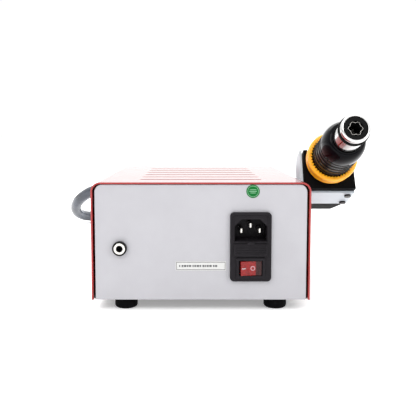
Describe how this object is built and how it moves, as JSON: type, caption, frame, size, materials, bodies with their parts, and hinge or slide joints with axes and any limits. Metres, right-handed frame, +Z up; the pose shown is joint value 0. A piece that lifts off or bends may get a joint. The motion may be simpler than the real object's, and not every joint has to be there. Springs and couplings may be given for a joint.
{
  "type": "hot air station",
  "caption": "Steel-cased bench hot air station with rear mains inlet, side cradle, and a heater handpiece on an air hose.",
  "frame": {"origin": "centre of the case's footprint, on the plane its rubber feet stand on", "axes": "+Z up, -Y to the front panel, +Y to the rear panel, -X to the holder"},
  "size_m": [0.3135, 0.5437, 0.1493],
  "materials": {
    "red_cover": "gloss red paint",
    "steel_sheet": "plated sheet",
    "grey_panel": "satin pale grey paint",
    "black_screw": "black oxide",
    "foot_rubber": "matt",
    "zinc_screw": "zinc plated",
    "charcoal_plastic": "fine texture",
    "nickel": "bright nickel",
    "red_lens": "translucent red",
    "fuse_glass": "clear",
    "black_plastic": "black",
    "label_paper": "blank label stock",
    "green_foil": "gloss foil",
    "green_board": "solder mask",
    "brass_fitting": "bright",
    "raw_aluminium": "extruded",
    "core_steel": "varnished laminations",
    "winding_tape": "yellow tape over copper",
    "hose_rubber": "smooth",
    "smoked_window": "tinted, gloss",
    "knob_plastic": "matt black",
    "key_plastic": "matt grey",
    "hose_vinyl": "gloss blue-grey",
    "white_bracket": "white-silver paint",
    "black_cradle": "black semi-gloss",
    "amber_collar": "amber yellow",
    "chrome_tube": "polished",
    "heater_ceramic": "heat-darkened",
    "handle_plastic": "textured black"
  },
  "bodies": {
    "chassis": {"cover": "red_cover", "base_tray": "steel_sheet", "rear_panel": "grey_panel", "front_bezel": "grey_panel", "cover_screws": "black_screw", "foot_front_left": "foot_rubber", "foot_front_right": "foot_rubber", "foot_rear_left": "foot_rubber", "foot_rear_right": "foot_rubber", "foot_screws": "zinc_screw", "inlet_housing": "charcoal_plastic", "inlet_pins": "nickel", "rocker_frame": "charcoal_plastic", "earth_socket_collar": "black_plastic", "earth_socket_sleeve": "nickel", "earth_socket_nut": "nickel", "rating_label": "label_paper", "inspection_sticker": "green_foil", "main_board": "green_board", "control_board": "green_board", "board_standoffs": "brass_fitting", "triac_heatsink": "raw_aluminium", "board_components": "black_plastic", "transformer_core": "core_steel", "transformer_winding": "winding_tape", "blower_housing": "black_plastic", "blower_motor": "steel_sheet", "air_duct": "hose_rubber", "display_window": "smoked_window", "led_display": "black_plastic", "encoders": "steel_sheet", "key_switches": "black_plastic", "hose_gland": "foot_rubber", "air_hose": "hose_vinyl", "holder_bracket": "white_bracket", "bracket_posts": "nickel", "holder_cradle": "black_cradle", "cradle_screws": "black_screw", "cradle_pads": "foot_rubber", "dock_sensor": "black_plastic"},
    "rocker": {"power_rocker": "red_lens"},
    "fuse_carrier": {"fuse_drawer": "charcoal_plastic", "fuses": "fuse_glass"},
    "blower_rotor": {"blower_impeller": "black_plastic"},
    "temperature_dial": {"temperature_knob": "knob_plastic"},
    "airflow_dial": {"airflow_knob": "knob_plastic"},
    "key_1": {"preset_key_1": "key_plastic"},
    "key_2": {"preset_key_2": "key_plastic"},
    "key_3": {"preset_key_3": "key_plastic"},
    "handpiece": {"locking_collar": "amber_collar", "ribbed_sleeve": "black_plastic", "handle_shoulder": "black_plastic", "heater_tube": "chrome_tube", "tube_ring": "foot_rubber", "heater_core": "heater_ceramic", "heater_sheath": "nickel", "handle_shell_left": "handle_plastic", "handle_shell_right": "handle_plastic", "handle_screws": "black_screw", "hose_boot": "foot_rubber"}
  },
  "joints": [
    {"name": "power_switch", "type": "hinge", "parent": "chassis", "child": "rocker", "pos_m": [-0.0374, 0.1016, 0.034], "axis": [0, 0, 1], "range_deg": [-16, 0]},
    {"name": "fuse_drawer_pull", "type": "slide", "parent": "chassis", "child": "fuse_carrier", "axis": [0, 1, 0], "range_m": [0, 0.022]},
    {"name": "blower_spin", "type": "hinge", "parent": "chassis", "child": "blower_rotor", "pos_m": [0.054, -0.022, 0.046], "axis": [1, 0, 0], "continuous": true},
    {"name": "temperature_turn", "type": "hinge", "parent": "chassis", "child": "temperature_dial", "pos_m": [-0.046, -0.106, 0.0285], "axis": [0, -1, 0], "range_deg": [-150, 150]},
    {"name": "airflow_turn", "type": "hinge", "parent": "chassis", "child": "airflow_dial", "pos_m": [0.002, -0.106, 0.0285], "axis": [0, -1, 0], "range_deg": [-150, 150]},
    {"name": "preset_1_press", "type": "slide", "parent": "chassis", "child": "key_1", "axis": [0, 1, 0], "range_m": [0, 0.0012], "stiffness_N_per_m": 500, "springref_m": -0.0006},
    {"name": "preset_2_press", "type": "slide", "parent": "chassis", "child": "key_2", "axis": [0, 1, 0], "range_m": [0, 0.0012], "stiffness_N_per_m": 500, "springref_m": -0.0006},
    {"name": "preset_3_press", "type": "slide", "parent": "chassis", "child": "key_3", "axis": [0, 1, 0], "range_m": [0, 0.0012], "stiffness_N_per_m": 500, "springref_m": -0.0006},
    {"name": "handpiece_lift", "type": "slide", "parent": "chassis", "child": "handpiece", "axis": [0, -0.319, 0.9478], "range_m": [0, 0.06]}
  ]
}
